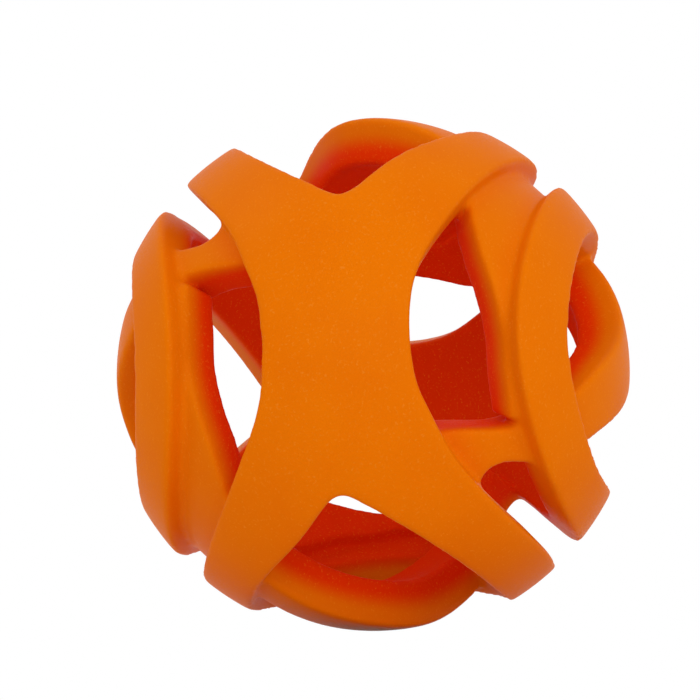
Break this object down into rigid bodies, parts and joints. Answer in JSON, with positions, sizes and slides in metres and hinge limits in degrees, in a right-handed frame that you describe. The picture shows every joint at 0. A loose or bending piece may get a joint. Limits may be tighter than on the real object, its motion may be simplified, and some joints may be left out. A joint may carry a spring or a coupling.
{
  "type": "openwork fetch ball",
  "caption": "Hollow openwork rubber dog fetch ball: two figure-of-eight frames set crosswise like tennis-ball panels, tied by sunk loops.",
  "frame": {"origin": "centre of the ball", "axes": "-Y out of the front cross, +Z out of the window that the front cross's upper arms and the top hoop enclose, +X out of the right window"},
  "size_m": [0.0618, 0.064, 0.0618],
  "materials": {
    "orange_rubber": "satin, fine grained"
  },
  "bodies": {
    "root": {"front_cross": "orange_rubber", "front_arm_upper_right": "orange_rubber", "front_arm_lower_left": "orange_rubber", "front_arm_upper_left": "orange_rubber", "front_arm_lower_right": "orange_rubber", "back_cross": "orange_rubber", "back_arm_upper_right": "orange_rubber", "back_arm_lower_left": "orange_rubber", "back_arm_lower_right": "orange_rubber", "back_arm_upper_left": "orange_rubber", "top_hoop": "orange_rubber", "bottom_hoop": "orange_rubber", "right_hoop": "orange_rubber", "left_hoop": "orange_rubber", "top_loop": "orange_rubber", "bottom_loop": "orange_rubber", "right_loop": "orange_rubber", "left_loop": "orange_rubber", "top_blade": "orange_rubber", "bottom_blade": "orange_rubber", "right_blade": "orange_rubber", "left_blade": "orange_rubber"}
  },
  "joints": []
}
